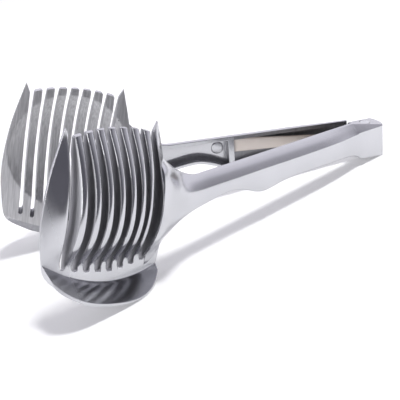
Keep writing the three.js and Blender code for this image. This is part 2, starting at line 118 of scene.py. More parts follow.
def pick(*objects):
    bpy.ops.object.select_all(action="DESELECT")
    for obj in objects:
        obj.select_set(True)
    bpy.context.view_layer.objects.active = objects[0]


def new_primitive(add, name, **settings):
    bpy.ops.object.select_all(action="DESELECT")
    add(**settings)
    obj = bpy.context.object
    obj.name = name
    return obj


def edit(obj, work):
    pick(obj)
    bpy.ops.object.mode_set(mode="EDIT")
    bpy.ops.mesh.select_all(action="SELECT")
    work()
    bpy.ops.object.mode_set(mode="OBJECT")


def outward(obj):
    edit(obj, lambda: bpy.ops.mesh.normals_make_consistent(inside=False))


def shape(obj, place):
    for vertex in obj.data.vertices:
        vertex.co = place(*vertex.co)
    obj.data.update()


# %% [markdown]
# The head is the part to take care over. It could be sculpted, but its dome and its two flat plates
# follow plain curves, and a formula is easier to correct against a picture. Across the head runs s,
# towards the hinge, and along its tines runs t. The dome is higher than it is wide, the plate away
# from the handle is one flat facet, and the plate beside the handle turns from neck to steep fin.

# %% Sides and dome of a head
HALF_WIDTH, WIDEST_T, SIDE_CURVE, SIDE_BEND, SIDE_RUN = 33, -3, 2.6, 1.73, 16.5
TIP_SPREAD, TIP_TOP = 24.4, 42.8
DOME_DEPTH, DOME_PEAK, DOME_UP, DOME_DOWN = 18.8, 4, 39, 32.7
DOME_HALF, FULLNESS = HALF_WIDTH + 1, 2.5
LAND, LAND_CENTRE, LAND_RUN, EDGE = 6, 4, 42, 1.4


def rounded_max(a, b, round_off):
    return (a + b + math.hypot(a - b, round_off)) / 2


def plate_half(t):
    """Half width of the head at a level."""
    if t > WIDEST_T:
        up = min((t - WIDEST_T) / (TIP_TOP - WIDEST_T), 1)
        return HALF_WIDTH - (HALF_WIDTH - TIP_SPREAD) * up**SIDE_BEND
    return HALF_WIDTH - SIDE_CURVE / 2 * ((WIDEST_T - t) / SIDE_RUN) ** 2


def across_share(s):
    return 1 - min(abs(s) / DOME_HALF, 1) ** FULLNESS


def dome_depth(s, level, share):
    length = DOME_UP if level > DOME_PEAK else DOME_DOWN
    along = 1 - ((level - DOME_PEAK) / length) ** 2
    land = max(LAND * (1 - ((s - LAND_CENTRE) / LAND_RUN) ** 2), EDGE)
    rise = EDGE if level > DOME_PEAK else land
    return rounded_max(DOME_DEPTH * along * share, rise, EDGE)


print("half width at the tips:", round(plate_half(TIP_TOP), 2))

# %% Dome and plates joined
OUTER_SHARE, NECK_SHARE = 0.75, 0.93
FIN_START, FIN_FULL = 8, 24
SLOTS, SLOT_PITCH = 8, 6.08
PLATE_EDGE = (SLOTS - 1) / 2 * SLOT_PITCH


def between(low, high, share):
    return low + (high - low) * share


def ease(value, low, high):
    share = min(max((value - low) / (high - low), 0), 1)
    return share * share * (3 - 2 * share)


def body_depth(s, level):
    """Height of the dome, or of the plate on either side of it."""
    past = min(max(abs(s) - PLATE_EDGE, 0) / (plate_half(level) - PLATE_EDGE), 1)
    if s < -PLATE_EDGE:
        plate = dome_depth(-PLATE_EDGE, level, OUTER_SHARE * across_share(PLATE_EDGE))
        return between(plate, EDGE, past)
    if s > PLATE_EDGE:
        towards_neck = (s - PLATE_EDGE) / (DOME_HALF - PLATE_EDGE)
        neck = dome_depth(s, level, NECK_SHARE * (1 - towards_neck**2))
        fin = between(dome_depth(PLATE_EDGE, level, NECK_SHARE), EDGE, past)
        return between(neck, fin, ease(level, FIN_START, FIN_FULL))
    return dome_depth(s, level, across_share(s))


print("dome at its top:", round(body_depth(0, DOME_PEAK), 2))

# %% [markdown]
# Below the tines the metal thins to a land, and past a curved crease it flares out again into a
# polished toe. A second shell could be joined on for it, but one height for dome, land and toe keeps
# the crease clean.

# %% Toe of a head
CREASE_T, CREASE_CENTRE, CREASE_RADIUS = -34.6, 5, 62
TOE_SLOPE, TOE_REACH, TOE_CENTRE, TOE_HALF, TOE_FULLNESS = 2.2, 19.1, -1, 35, 4
HEAD_BOTTOM = -41.8


def arc(radius, s):
    return s * s / (2 * radius)


def crease_at(s):
    return CREASE_T + arc(CREASE_RADIUS, s - CREASE_CENTRE)


def toe_reach(s):
    return TOE_REACH * (1 - (abs(s - TOE_CENTRE) / TOE_HALF) ** TOE_FULLNESS)


def head_depth(s, t):
    crease = crease_at(s)
    body = body_depth(s, max(t, crease))
    toe = body + TOE_SLOPE * max(crease - t, 0)
    return min(toe, max(toe_reach(s), body))


print("toe at its rim:", round(head_depth(0, HEAD_BOTTOM), 2))

# %% [markdown]
# Beside each slot the metal is rounded over, so every tine has soft edges. A bevel after the cut
# would stumble over the curved rims, so the rounding is laid into the skin first. The skin is a grid
# with five columns to such an edge, set out by angle so that the round is even.

# %% Columns of the skin
SLOT_INSIDE, SLOT_OUTSIDE = 2.15, 3.1
PLATE_FACE = PLATE_EDGE + SLOT_OUTSIDE / 2
SLOT_PLACES = [(i - (SLOTS - 1) / 2) * SLOT_PITCH for i in range(SLOTS)]
EDGE_ROUND = 1.45
ROUND_ANGLES = [math.radians(a) for a in (0, 22.5, 45, 67.5, 90)]
PLATE_COLUMNS, COLUMN_BUNCH, MARGIN = 12, 0.8, 6


def head_columns():
    """(centre, side, angle) of each column of points, from the outer plate to the neck plate."""
    plate = [
        between(HALF_WIDTH + MARGIN, PLATE_FACE + EDGE_ROUND, (i / PLATE_COLUMNS) ** COLUMN_BUNCH)
        for i in range(PLATE_COLUMNS)
    ]
    columns = [(-s, 0, 0) for s in plate]
    for slot in SLOT_PLACES:
        columns += [(slot, -1, a) for a in ROUND_ANGLES]
        columns.append((slot, 0, None))
        columns += [(slot, 1, a) for a in reversed(ROUND_ANGLES)]
        if slot < SLOT_PLACES[-1]:
            columns.append((slot + SLOT_PITCH / 2, 0, 0))
    return columns + [(s, 0, 0) for s in reversed(plate)]


COLUMNS = head_columns()
print("columns over the head:", len(COLUMNS))

# %% [markdown]
# The rows follow the crease: a few on the toe, many above it. Each point takes the height of the
# head, less the rounding where a slot will be cut, and at the foot of a slot the rounding fades into
# the land. Extruding the skin back to the meeting plane then makes it a solid.

# %% Rows of the skin
LOW_ROWS, HIGH_ROWS, CREASE_ROUND, RIM_DROP = 11, 52, 0.15, 1


def rim_level(s):
    """Level where the toe's sloping face ends in its rim."""
    crease = crease_at(s)
    return crease - max((toe_reach(s) - head_depth(s, crease)) / TOE_SLOPE, RIM_DROP)


def row_level(row, s):
    crease = crease_at(s)
    if row == 0:
        return HEAD_BOTTOM - 2 * MARGIN
    if row <= LOW_ROWS:
        return between(rim_level(s), crease - CREASE_ROUND, (row - 1) / (LOW_ROWS - 1))
    return between(crease + CREASE_ROUND, TIP_TOP + MARGIN, (row - LOW_ROWS - 1) / (HIGH_ROWS - 1))


print("rim of the toe:", round(rim_level(0), 2))

# %% Points of the skin
SLOT_FLOOR, SLOT_FLOOR_RADIUS, SLOT_RISE = -32.4, 69, 0.62
FADE_BELOW, FADE_ABOVE, SINK_LIMIT, WALL_OVERLAP = 0.8, 1.6, 0.7, 0.03


def slot_half(v):
    return between(SLOT_INSIDE, SLOT_OUTSIDE, v / DOME_DEPTH) / 2


def slot_foot(s, v):
    return SLOT_FLOOR + arc(SLOT_FLOOR_RADIUS, s) + SLOT_RISE * v


def head_point(column, row):
    centre, side, angle = COLUMNS[column]
    t = row_level(row, centre)
    wall = slot_half(max(head_depth(centre, t) - EDGE_ROUND, 0)) - WALL_OVERLAP
    s, sink = centre, 0
    if side:
        s = centre + side * (wall + EDGE_ROUND * (1 - math.sin(angle)))
        sink = EDGE_ROUND * (1 - math.cos(angle))
    elif angle is None:
        sink = EDGE_ROUND
    t = row_level(row, s)
    foot = slot_foot(centre, LAND)
    depth = head_depth(s, t)
    sink = min(sink, depth * SINK_LIMIT) * ease(t, foot - FADE_BELOW, foot + FADE_ABOVE)
    return Vector((s, depth - sink, t))


print("point at the crease:", [round(c, 2) for c in head_point(len(COLUMNS) // 2, LOW_ROWS)])

# %% Blank of the head
MEETING, THROUGH = 0.15, 60


def grid_through(name, rows, rolled=False):
    """Grid with its points where the rows say; a rolled one also joins the two ends of each row."""
    count, steps = len(rows[0]), len(rows) - 1
    across = count if rolled else count - 1
    grid = new_primitive(
        bpy.ops.mesh.primitive_grid_add, name, x_subdivisions=across, y_subdivisions=steps, size=2
    )

    def place(x, y, z):
        return rows[round((y + 1) / 2 * steps)][round((x + 1) / 2 * across) % count]

    shape(grid, place)
    return grid


def make_head():
    rows = range(LOW_ROWS + HIGH_ROWS + 1)
    columns = range(len(COLUMNS))
    head = grid_through("head", [[head_point(column, row) for column in columns] for row in rows])
    edit(head, lambda: bpy.ops.mesh.extrude_region_move(
        TRANSFORM_OT_translate={"value": (0, -THROUGH, 0)}
    ))
    for vertex in head.data.vertices:
        if vertex.co.y < -THROUGH / 3:
            vertex.co.y = MEETING
    outward(head)
    return head


head = make_head()
print("head blank:", len(head.data.polygons), "faces")

# %% [markdown]
# A flat outline now trims the head like a pastry cutter. Its sides are one smooth curve from tip to
# tip round the toe, which leans a little towards the hinge, and its top is the arch of the tines. The
# skin could be laid out to that outline, but a boolean modifier leaves the columns straight.

# %% Outline of the head
TINE_TOP, TINE_ARCH = 41.3, 75
SIDE_LOW, CORNER, TOE_CORNER, TOE_MIDDLE = -19.5, (28.9, -32), (20.6, -37.8), (14, -40.1)
SKEW_T, SKEW_RADIUS = -26, 38
SIDE_PARTS, TOP_PARTS = 16, 40


def smooth_line(points, parts):
    """Points on a smooth curve that passes through the given points."""
    line = []
    for i in range(len(points) - 1):
        a, b, c, d = (Vector(points[min(max(i + k, 0), len(points) - 1)]) for k in (-1, 0, 1, 2))
        for step in range(parts):
            t = step / parts
            line.append(0.5 * (
                2 * b + (c - a) * t + (2 * a - 5 * b + 4 * c - d) * t * t + (3 * b - a - 3 * c + d) * t**3
            ))
    return line + [Vector(points[-1])]


def tine_top(s):
    return TINE_TOP - arc(TINE_ARCH, s)


def skew_at(t):
    return arc(SKEW_RADIUS, min(t - SKEW_T, 0))


def head_outline():
    side = [
        (TIP_SPREAD, TIP_TOP),
        (HALF_WIDTH - SIDE_CURVE, (TIP_TOP + WIDEST_T) / 2),
        (HALF_WIDTH, WIDEST_T),
        (HALF_WIDTH - SIDE_CURVE / 2, SIDE_LOW),
        CORNER,
        TOE_CORNER,
        TOE_MIDDLE,
        (0, HEAD_BOTTOM),
    ]
    other = [(-s, t) for s, t in reversed(side[:-1])]
    around = smooth_line([(s + skew_at(t), t) for s, t in side + other], SIDE_PARTS)
    reach = PLATE_EDGE + SLOT_INSIDE / 2
    tops = [between(-reach, reach, i / TOP_PARTS) for i in range(TOP_PARTS + 1)]
    return [tuple(p) for p in around] + [(s, tine_top(s)) for s in tops]


print("outline:", len(head_outline()), "points")

# %% Trimmed head


def prism(name, outline, low, high):
    """Solid from an outline of (x, z) points, drawn out along y."""
    solid = new_primitive(
        bpy.ops.mesh.primitive_circle_add, name, vertices=len(outline), radius=1, fill_type="NGON"
    )
    for vertex, (x, z) in zip(solid.data.vertices, outline):
        vertex.co = (x, low, z)
    edit(solid, lambda: bpy.ops.mesh.extrude_region_move(
        TRANSFORM_OT_translate={"value": (0, high - low, 0)}
    ))
    outward(solid)
    return solid


def apply(obj, kind, **settings):
    pick(obj)
    modifier = obj.modifiers.new(kind.lower(), kind)
    for name, value in settings.items():
        setattr(modifier, name, value)
    bpy.ops.object.modifier_apply(modifier=modifier.name)


def combine(obj, tool, operation):
    apply(obj, "BOOLEAN", object=tool, operation=operation, solver="MANIFOLD")
    bpy.data.objects.remove(tool)


combine(head, prism("outline", head_outline(), low=-1, high=40), "INTERSECT")
print("trimmed head:", len(head.data.polygons), "faces")

# %% [markdown]
# Inside, a shallow bowl grips the fruit, and a long bevel thins the back of the toe to an edge. Both
# could be part of the skin, but the inner side is plain enough to cut: a large ball for the bowl and
# a curved wedge for the bevel. The finished head then moves to its place at the end of the arm.

# %% Bowl and toe bevel
BOWL_RADIUS, BOWL_DEPTH, BOWL_CENTRE = 30.8, 7.2, 7.2
BEVEL_T, BEVEL_RADIUS, BEVEL_SLOPE, BEVEL_BACK, BEVEL_LEVELS = -36.7, 80, 0.6, -4, 5
HEAD_REACH, HEAD_RISE, HEAD_TILT = 159, 10.5, math.radians(12)
HEAD_PLACE = Matrix.Translation((-HEAD_REACH, 0, HEAD_RISE)) @ Matrix.Rotation(HEAD_TILT, 4, "Y")


def cut_bowl(obj, place):
    """Cut away a ball, turned so that its poles lie along y and leave the bowl's middle even."""
    ball = (BOWL_RADIUS**2 + BOWL_DEPTH**2) / (2 * BOWL_DEPTH)
    bowl = new_primitive(
        bpy.ops.mesh.primitive_uv_sphere_add, "bowl", segments=180, ring_count=120, radius=ball
    )
    centre = Vector((0, MEETING + BOWL_DEPTH - ball, BOWL_CENTRE))
    shape(bowl, lambda x, y, z: Vector((x, z, y)) + centre)
    outward(bowl)
    bowl.data.transform(place)
    combine(obj, bowl, "DIFFERENCE")


def cut_toe_bevel(obj):
    wedge = new_primitive(bpy.ops.mesh.primitive_cube_add, "toe_bevel", size=2)
    wedge.scale = (HALF_WIDTH + MARGIN, 1, 1)
    bpy.ops.object.transform_apply()
    apply(wedge, "SUBSURF", subdivision_type="SIMPLE", levels=BEVEL_LEVELS, render_levels=BEVEL_LEVELS)

    def place(x, y, z):
        start = BEVEL_T + arc(BEVEL_RADIUS, x - LAND_CENTRE)
        level = between(HEAD_BOTTOM - MARGIN, start, (z + 1) / 2)
        return (x, between(BEVEL_BACK, MEETING + BEVEL_SLOPE * (start - level), (y + 1) / 2), level)

    shape(wedge, place)
    combine(obj, wedge, "DIFFERENCE")


cut_bowl(head, Matrix.Identity(4))
cut_toe_bevel(head)
head.data.transform(HEAD_PLACE)
print("hollowed head:", len(head.data.polygons), "faces")

# %% [markdown]
# The handle is thin at the hinge and carries a finger lobe below, a waist behind it, and a neck that
# swells into the head's plate. Two smooth lines give its lower edge and its thickness at each
# distance u from the hinge. Curve objects could be drawn for them, but a list of points can be asked
# for its value anywhere.

# %% Lines of the handle
HANDLE_TOP, HANDLE_THICK, HINGE_THICK, GRIP_BOTTOM = 13.5, 9, 6, -2.3
LOBE_U, LOBE_DROP, WAIST_U, WAIST_RISE = 72, 2.2, 92, 3.8
NECK_U, BLOCK_RADIUS, LINE_PARTS = 113.5, 9.5, 24
NECK_AXIS = HEAD_RISE - PLATE_FACE * math.sin(HEAD_TILT)
NECK_END = HEAD_REACH - PLATE_FACE * math.cos(HEAD_TILT)
LINE_START, LINE_END = -BLOCK_RADIUS - 2, NECK_END + 1

lower_edge = smooth_line([
    (LINE_START, GRIP_BOTTOM - 5.9),
    (4, GRIP_BOTTOM - 4),
    (14, GRIP_BOTTOM - 1),
    (30, GRIP_BOTTOM),
    (LOBE_U - 16, GRIP_BOTTOM),
    (LOBE_U, GRIP_BOTTOM - LOBE_DROP),
    ((LOBE_U + WAIST_U) / 2 + 1, GRIP_BOTTOM + WAIST_RISE / 2),
    (WAIST_U, GRIP_BOTTOM + WAIST_RISE),
    (NECK_U - 9, GRIP_BOTTOM + WAIST_RISE / 2),
    (NECK_U + 3, GRIP_BOTTOM - 0.8),
    (LINE_END, GRIP_BOTTOM - 7),
], LINE_PARTS)
thickness = smooth_line([
    (LINE_START, HINGE_THICK),
    (BLOCK_RADIUS, HINGE_THICK + 0.2),
    (BLOCK_RADIUS + 30, HANDLE_THICK),
    (LINE_END, HANDLE_THICK),
], LINE_PARTS)


def value_at(line, u):
    after = next(i for i, p in enumerate(line) if p[0] >= u and i > 0)
    a, b = line[after - 1], line[after]
    return between(a[1], b[1], (u - a[0]) / (b[0] - a[0]))


print("height at the lobe:", round(HANDLE_TOP - value_at(lower_edge, LOBE_U), 2))

# %% [markdown]
# Across the handle, a ring of points runs from the inner lower edge round the outside and over the
# wide, rounded bevel to the top. The two tables say where the round corners lie, as shares of the
# thickness and heights, so a corner is corrected by one number. Towards the head each ring is drawn
# over to the edge of the head's plate.

# %% Sections of the grip
TOP_LAND, TOP_BEVEL, LAND_ROUND = 1.6, 4.3, 0.5
UNDERCUT, UNDERCUT_FULL, UNDERCUT_END = 1, 25, NECK_U + 6
NECK_BLEND = 16
LOWER_ROUND = ((0.62, 0), (0.84, 0.7), (0.95, 2.4))
SIDE_DROP, SHOULDER_SHARE, SHOULDER_DROP = 1, 0.98, 0.9
BEVEL_AT_HINGE = ((0.9, 1), (0.64, 0.48), (0.36, 0.13))
BEVEL_ON_GRIP = ((0.92, 0.9), (0.7, 0.42), (0.36, 0.08))


def inner_drop(u):
    """How far the lower edge hangs down at the meeting face, below its outer side."""
    fade = 1 - ease(u, NECK_U - NECK_BLEND, UNDERCUT_END)
    return UNDERCUT * ease(u, BLOCK_RADIUS, UNDERCUT_FULL) * fade


def grip_section(u):
    low, out = value_at(lower_edge, u), value_at(thickness, u)
    bevel = between(TOP_BEVEL / 4, TOP_BEVEL, min(u / BLOCK_RADIUS, 1))
    full = ease(u, BLOCK_RADIUS, LOBE_U / 2)
    ring = [(MEETING, low - inner_drop(u))]
    ring += [(out * share, low + rise) for share, rise in LOWER_ROUND]
    ring.append((out, (HANDLE_TOP + low) / 2 - SIDE_DROP))
    ring.append((out * SHOULDER_SHARE, HANDLE_TOP - bevel - SHOULDER_DROP))
    for at_hinge, on_grip in zip(BEVEL_AT_HINGE, BEVEL_ON_GRIP):
        share, fall = (between(a, b, full) for a, b in zip(at_hinge, on_grip))
        ring.append((max(out * share, TOP_LAND + LAND_ROUND), HANDLE_TOP - bevel * fall))
    return ring + [(TOP_LAND, HANDLE_TOP), (MEETING, HANDLE_TOP)]


print("corners of the grip:", len(grip_section(LOBE_U)))

# %% Sections of the neck
NECK_LOW, NECK_HIGH, SECTION_PARTS = -29, 26, 5


def plate_section(count):
    levels = [between(NECK_LOW, NECK_HIGH, i / (count - 3)) for i in range(count - 2)]
    ring = [(MEETING, NECK_LOW)] + [(head_depth(PLATE_FACE, t), t) for t in levels]
    ring.append((MEETING, NECK_HIGH))
    return [(v, NECK_AXIS + t * math.cos(HEAD_TILT)) for v, t in ring]


def arm_section(u):
    near = ease(u, NECK_U, NECK_END)
    grip = grip_section(u)
    plate = plate_section(len(grip))
    section = []
    for i, ((v, w), (plate_v, plate_w)) in enumerate(zip(grip, plate)):
        climb = near**2 if i < len(grip) / 2 else ease(u, NECK_U - NECK_BLEND / 2, NECK_END)
        section.append((between(v, plate_v, near), between(w, plate_w, climb)))
    return section[:1] + smooth_line(section[1:-1], SECTION_PARTS) + section[-1:]


print("points round the handle:", len(arm_section(LOBE_U)))

# %% [markdown]
# The rings could be bridged one by one. A grid rolled up into a tube gives the same faces in one
# step: each row of the grid lies on a ring, the seam is merged and the ends are filled. Where the
# neck swells, a smoothing modifier melts the bevel into the head. The neck's end is then cleared out
# of the bowl by the same ball as before.

# %% Rolled tubes
SEAM = 0.001


def rolled_tube(name, rings):
    """Closed tube through rings of points."""
    tube = grid_through(name, rings, rolled=True)

    def close():
        bpy.ops.mesh.remove_doubles(threshold=SEAM)
        bpy.ops.mesh.select_all(action="DESELECT")
        bpy.ops.mesh.select_non_manifold()
        bpy.ops.mesh.fill_holes(sides=0)

    edit(tube, close)
    outward(tube)
    return tube


# %% Handle and neck
HANDLE_STATIONS = 96
SMOOTH_FADE, SMOOTH_END, SMOOTH_ROUNDS = NECK_END - 6, NECK_END - 2, 60
FLAT_FACE = MEETING + 0.01


def handle_ring(u):
    lean = ease(u, NECK_U, NECK_END) * math.tan(HEAD_TILT)
    return [(lean * (w - NECK_AXIS) - u, v, w) for v, w in arm_section(u)]


def smooth_neck(tube):
    """Melt the bevel into the head where the neck swells, and leave the meeting face flat."""
    neck = tube.vertex_groups.new(name="neck")
    for vertex in tube.data.vertices:
        u, v = -vertex.co.x, vertex.co.y
        weight = ease(u, NECK_U - NECK_BLEND, NECK_U) * (1 - ease(u, SMOOTH_FADE, SMOOTH_END))
        neck.add([vertex.index], weight if v > FLAT_FACE else 0, "REPLACE")
    apply(tube, "SMOOTH", vertex_group="neck", factor=0.5, iterations=SMOOTH_ROUNDS)
    tube.vertex_groups.clear()


def make_handle():
    stations = [NECK_END * i / HANDLE_STATIONS for i in range(HANDLE_STATIONS + 1)]
    tube = rolled_tube("handle", [handle_ring(u) for u in stations])
    smooth_neck(tube)
    return tube


handle = make_handle()
print("handle:", len(handle.data.polygons), "faces")
combine(head, handle, "UNION")
arm = head
arm.name = "arm_blank"
cut_bowl(arm, HEAD_PLACE)

# %% [markdown]
# A slot is a long hole, wider outside than in. Its foot is round and slopes outwards as the casting
# tool drew, with a rounded sill, and its top flares to round off the tips of the tines. A stretched
# cylinder could make a plain one, but a rolled tube takes all these curves at once. Eight slots are
# joined and cut in one step.

# %% Slots
TIP_ROUND, SILL_ROUND = 0.3, 0.35
FOOT_PARTS, FLARE_PARTS = 12, 6
FOOT_ANGLES = [math.pi * (1 + i / FOOT_PARTS) for i in range(FOOT_PARTS + 1)]
FLARE_ANGLES = [i / FLARE_PARTS * math.pi / 2 for i in range(FLARE_PARTS + 1)]


def slot_ring(s, v, sill, drop):
    """Points round a slot at the depth v, with the middle of its foot lowered by the drop."""
    half, foot, top = slot_half(v), slot_foot(s, min(v, sill)), tine_top(s)
    flare = [
        (half + TIP_ROUND * (1 - math.cos(a)), top + TIP_ROUND * (math.sin(a) - 1))
        for a in FLARE_ANGLES
    ]
    flare.append((half + TIP_ROUND, TIP_TOP + MARGIN))
    round_foot = [
        (half * math.cos(a), foot + half + half * math.sin(a) - drop * math.sin(a) ** 2)
        for a in FOOT_ANGLES
    ]
    ring = [(-x, t) for x, t in reversed(flare)] + round_foot + flare
    return [(s + x, v, t) for x, t in ring]


def make_slot(s):
    sill = head_depth(s, slot_foot(s, LAND))
    depths = [(-MARGIN, 0)]
    for a in ROUND_ANGLES:
        depths.append((sill - SILL_ROUND * (1 - math.sin(a)), SILL_ROUND * (1 - math.cos(a))))
    depths.append((DOME_DEPTH + MARGIN, 2 * SILL_ROUND))
    return rolled_tube("slot", [slot_ring(s, v, sill, drop) for v, drop in depths])


def cut_slots(obj):
    slots = [make_slot(s) for s in SLOT_PLACES]
    pick(*slots)
    bpy.ops.object.join()
    slots[0].data.transform(HEAD_PLACE)
    combine(obj, slots[0], "DIFFERENCE")


cut_slots(arm)
print("slotted arm:", len(arm.data.polygons), "faces")

# %% [markdown]
# Two pockets lighten the handle and leave a cross-rib between them. An inset and an extrusion would
# do for a straight handle; here the walls follow the lobe and the waist, so each pocket is a tube
# whose rings are the handle's own lines moved inwards, with rounded corners.

# %% Pockets in the handle
TOP_WALL, BOTTOM_WALL, OUTER_WALL = 2, 1.4, 2.5
RIB_U, RIB = 72.7, 3
POCKET_START, POCKET_END, POCKET_ROUND = 10, 116, 1.8
POCKET_STEPS, CORNER_PARTS = 32, 4


def pocket_floor(u):
    return value_at(thickness, u) - OUTER_WALL


def round_corners(points, radius):
    """The line through the points with each inner corner turned into a short curve."""
    line = [points[0]]
    for a, b, c in zip(points, points[1:], points[2:]):
        a, b, c = Vector(a), Vector(b), Vector(c)
        start = b + (a - b).normalized() * min(radius, (a - b).length / 2)
        end = b + (c - b).normalized() * min(radius, (c - b).length / 2)
        for part in range(CORNER_PARTS + 1):
            share = part / CORNER_PARTS
            line.append(start.lerp(b, share).lerp(b.lerp(end, share), share))
    return line + [points[-1]]


def pocket_ring(u):
    low, high, floor = value_at(lower_edge, u) + BOTTOM_WALL, HANDLE_TOP - TOP_WALL, pocket_floor(u)
    lip = low - inner_drop(u)
    inside = [
        (-MARGIN, lip),
        (MEETING, lip),
        (floor, low),
        (floor, high - TOP_BEVEL / 3),
        (TOP_LAND, high),
        (-MARGIN, high),
    ]
    return [(-u, v, w) for v, w in round_corners(inside, POCKET_ROUND)]


def cut_pocket(obj, start, end):
    stations = [between(start, end, i / POCKET_STEPS) for i in range(POCKET_STEPS + 1)]
    combine(obj, rolled_tube("pocket", [pocket_ring(u) for u in stations]), "DIFFERENCE")


cut_pocket(arm, POCKET_START, RIB_U - RIB / 2)
cut_pocket(arm, RIB_U + RIB / 2, POCKET_END)
print("hollowed arm:", len(arm.data.polygons), "faces")

# %% [markdown]
# A low round boss, left by the pin that pushes the casting out of its mould, stands on the floor of
# the front pocket. It could be a raised circle of faces, but a cylinder with its rim bevelled, sunk
# into the wall so that it joins, needs no cut in the floor.

# %% Boss in the pocket
BOSS_RADIUS, BOSS_HEIGHT, BOSS_GAP, BOSS_W = 3.2, 0.5, 1.6, 5.5


def add_boss(obj):
    u = RIB_U + RIB / 2 + BOSS_GAP + BOSS_RADIUS
    root = OUTER_WALL / 2
    boss = new_primitive(
        bpy.ops.mesh.primitive_cylinder_add,
        "boss",
        vertices=64,
        radius=BOSS_RADIUS,
        depth=BOSS_HEIGHT + root,
    )
    apply(boss, "BEVEL", width=BOSS_HEIGHT / 2, segments=3, limit_method="ANGLE")
    middle = pocket_floor(u) + (root - BOSS_HEIGHT) / 2
    shape(boss, lambda x, y, z: (x - u, middle + z, BOSS_W - y))
    outward(boss)
    combine(obj, boss, "UNION")


add_boss(arm)
print("arm blank:", len(arm.data.polygons), "faces")

# %% [markdown]
# The hinge is where the two castings differ. The rear arm ends in a tongue with a round knuckle. It
# could be modelled apart and joined on, but the handle already has the right outside, so a copy of
# the arm is stepped above and below and gets its knuckle and its bore from posts about the hinge axis.

# %% Tongue of the rear arm
CLEARANCE = 0.3
FLANGE, KNUCKLE_RADIUS, TONGUE_BOTTOM = 3.2, 3.6, -4.6
PIN_RADIUS = 1.5
BLOCK_FALL = 4
BLOCK_TOP = HANDLE_TOP - BLOCK_FALL / 2
TONGUE_TOP = BLOCK_TOP - FLANGE - CLEARANCE


def copy_of(obj, name):
    twin = obj.copy()
    twin.data = obj.data.copy()
    twin.name = name
    scene.collection.objects.link(twin)
    return twin


def post(radius, low, high, sides=96):
    """Upright cylinder about the hinge axis."""
    obj = new_primitive(
        bpy.ops.mesh.primitive_cylinder_add,
        "post",
        vertices=sides,
        radius=radius,
        depth=high - low,
        location=(0, 0, (low + high) / 2),
    )
    bpy.ops.object.transform_apply()
    return obj


def cut_bore(obj):
    combine(obj, post(PIN_RADIUS + CLEARANCE, -THROUGH, THROUGH, 48), "DIFFERENCE")


def make_rear(blank):
    rear = copy_of(blank, "rear_arm_cast")
    step = BLOCK_RADIUS + CLEARANCE
    combine(rear, post(step, TONGUE_TOP, THROUGH), "DIFFERENCE")
    combine(rear, post(step, -THROUGH, TONGUE_BOTTOM), "DIFFERENCE")
    combine(rear, post(KNUCKLE_RADIUS, TONGUE_BOTTOM, TONGUE_TOP), "UNION")
    cut_bore(rear)
    return rear


rear = make_rear(arm)
print("rear arm:", len(rear.data.polygons), "faces")

# %% [markdown]
# The front arm is the mirror image and ends in a rounded block with room for the tongue. A slanted
# wall in that room stops the tongue, and so the opening arm. The block's top falls towards its end
# and carries on the bevels of both handles; three planes cut it, as a file would.

# %% Block with room for the tongue
OPEN_HALF_ANGLE = math.radians(10.6)


def hinge_block():
    block = post(BLOCK_RADIUS, -1, 1, 120)

    def place(x, y, z):
        low = value_at(lower_edge, -x)
        return (x, min(max(y, -HINGE_THICK), HINGE_THICK), HANDLE_TOP if z > 0 else low)

    shape(block, place)
    edit(block, lambda: bpy.ops.mesh.remove_doubles(threshold=SEAM))
    return block


def tongue_space(low, high):
    """Room for the tongue, with one wall leant by the whole opening angle as the stop."""
    swing, far = 2 * OPEN_HALF_ANGLE, 2 * BLOCK_RADIUS
    stop = [(v * math.sin(swing) - CLEARANCE) / math.cos(swing) for v in (MEETING, -far)]
    plan = {
        (1, 1): (-stop[1], far),
        (1, -1): (-stop[0], -MEETING),
        (-1, -1): (-far, -MEETING),
        (-1, 1): (-far, far),
    }
    space = new_primitive(bpy.ops.mesh.primitive_cube_add, "tongue_space", size=2)
    shape(space, lambda x, y, z: (*plan[round(x), round(y)], high if z > 0 else low))
    outward(space)
    return space


print("opening angle:", round(math.degrees(2 * OPEN_HALF_ANGLE), 1))

# %% Top of the block
BEVEL_EASE = 0.1


def above(level):
    """All that lies above level(x, y), over the block and past its end."""
    space = new_primitive(bpy.ops.mesh.primitive_cube_add, "above", size=2)
    far = 2 * BLOCK_RADIUS

    def place(x, y, z):
        x, y = between(-BLOCK_RADIUS, far, (x + 1) / 2), far * y
        return (x, y, THROUGH if z > 0 else level(x, y))

    shape(space, place)
    return space


def shape_block_top(obj):
    slope = above(lambda x, y: BLOCK_TOP - x / BLOCK_RADIUS * BLOCK_FALL / 2)
    combine(obj, slope, "DIFFERENCE")
    steep = (TOP_BEVEL - BEVEL_EASE) / (HINGE_THICK - TOP_LAND)
    for side in (-1, 1):
        bevel = above(lambda x, y: HANDLE_TOP - steep * (side * y - TOP_LAND))
        combine(obj, bevel, "DIFFERENCE")


# %% Front arm
PIN_HEAD_RADIUS, PIN_HEAD = 2.6, 0.8


def make_front(blank):
    front = copy_of(blank, "front_arm_cast")
    front.data.transform(Matrix.Scale(-1, 4, (0, 1, 0)))
    outward(front)
    combine(front, hinge_block(), "UNION")
    shape_block_top(front)
    low, high = TONGUE_BOTTOM - CLEARANCE, TONGUE_TOP + CLEARANCE
    combine(front, tongue_space(low, high), "DIFFERENCE")
    combine(front, post(KNUCKLE_RADIUS + CLEARANCE, low, high), "DIFFERENCE")
    cut_bore(front)
    sink = BLOCK_TOP - PIN_HEAD - CLEARANCE
    combine(front, post(PIN_HEAD_RADIUS + CLEARANCE, sink, THROUGH, 64), "DIFFERENCE")
    return front


front = make_front(arm)
bpy.data.objects.remove(arm)
print("front arm:", len(front.data.polygons), "faces")
